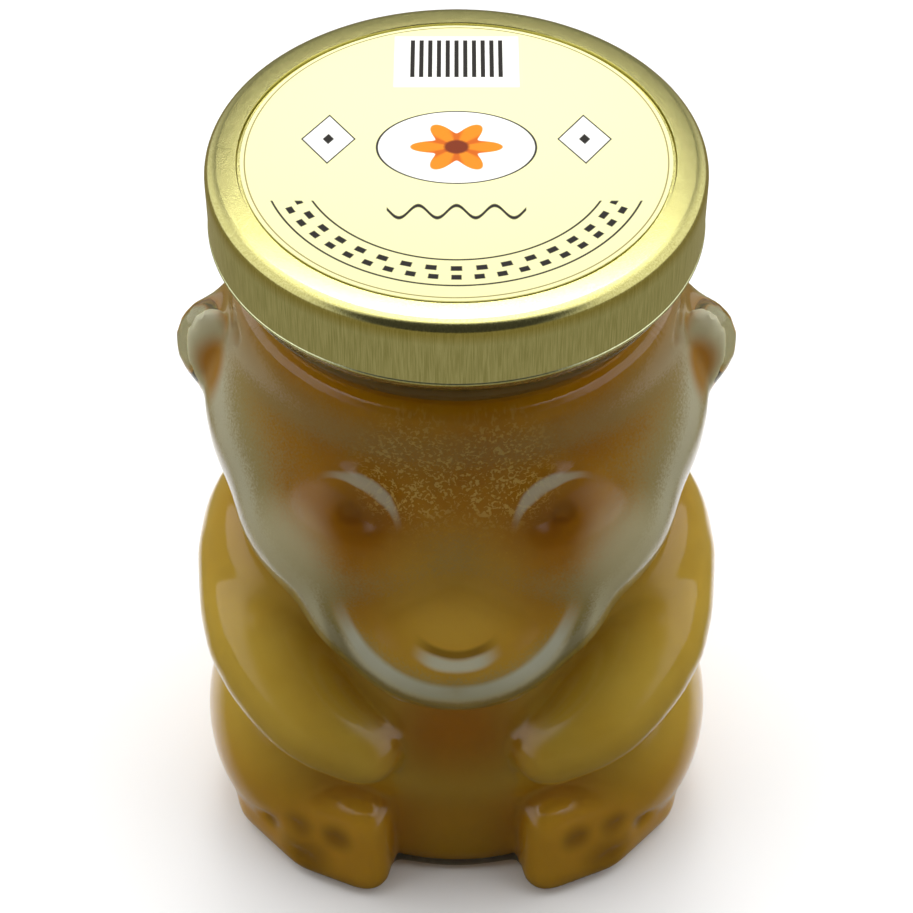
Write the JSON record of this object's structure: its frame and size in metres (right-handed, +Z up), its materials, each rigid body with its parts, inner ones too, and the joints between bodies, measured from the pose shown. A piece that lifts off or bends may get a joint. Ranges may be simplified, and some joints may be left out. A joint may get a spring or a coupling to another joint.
{
  "type": "honey jar",
  "caption": "Sitting-bear glass jar of set honey with a round gold tinplate twist lid and a round paper label on the lid.",
  "frame": {"origin": "middle of the round base, on the surface that the jar stands on", "axes": "+Z up through the lid, the bear faces -Y, +X to the viewer's right when the face is seen"},
  "size_m": [0.0728, 0.0716, 0.107],
  "materials": {
    "glass": "moulded clear glass",
    "honey": "opaque set honey, pressed smooth by the glass",
    "lid": "brushed gold lacquered tinplate",
    "label": "pale yellow printed paper"
  },
  "bodies": {
    "root": {"glass_jar": "glass", "honey": "honey", "lid": "lid", "lid_label": "label"}
  },
  "joints": []
}
